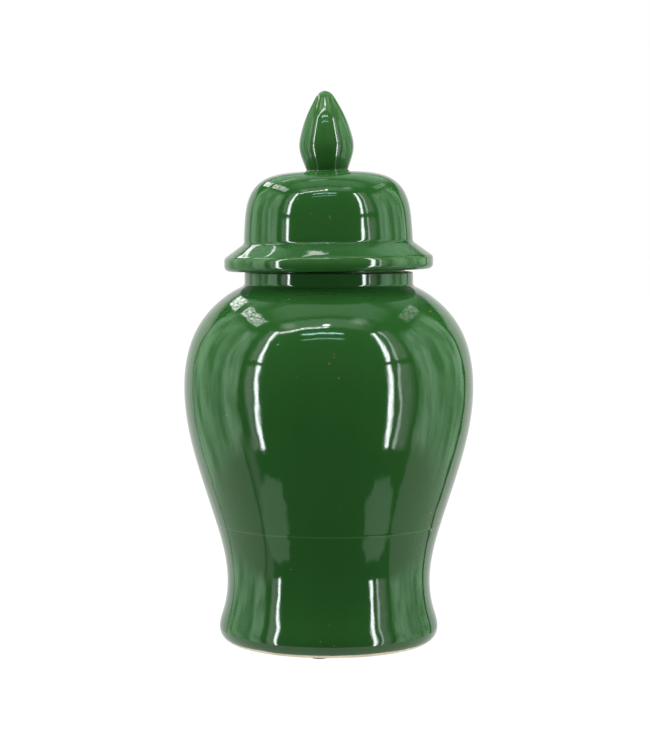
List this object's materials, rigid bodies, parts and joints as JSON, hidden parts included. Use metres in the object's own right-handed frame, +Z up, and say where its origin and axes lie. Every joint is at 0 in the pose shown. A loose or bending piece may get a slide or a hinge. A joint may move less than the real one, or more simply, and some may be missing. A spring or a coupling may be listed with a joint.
{
  "type": "lidded ginger jar",
  "caption": "Tall round-shouldered ginger jar with a waisted foot, and a domed lid with a wide brim and a flame-shaped finial that lifts out of the neck.",
  "frame": {"origin": "on the table at the jar's axis: the bottom centre of the box", "axes": "+Z up along the jar's axis, front towards -Y"},
  "size_m": [0.32, 0.32, 0.6086],
  "materials": {
    "green_glaze": "deep green glaze, high gloss, a little thin over the brim's edges and pooled in the hollow corners",
    "bare_clay": "unglazed buff earthenware, wiped clean, matt and slightly grainy",
    "pad_rubber": "matt black foam rubber"
  },
  "bodies": {
    "jar": {"jar_upper_section": "green_glaze", "jar_lower_section": "green_glaze", "foot_rim": "bare_clay", "foot_pad_front": "pad_rubber", "foot_pad_right": "pad_rubber", "foot_pad_back": "pad_rubber", "foot_pad_left": "pad_rubber"},
    "lid": {"lid_shell": "green_glaze", "lid_collar": "bare_clay", "finial": "green_glaze"}
  },
  "joints": [
    {"name": "lid_lift", "type": "slide", "parent": "jar", "child": "lid", "axis": [0, 0, 1], "range_m": [0, 0.15]}
  ]
}
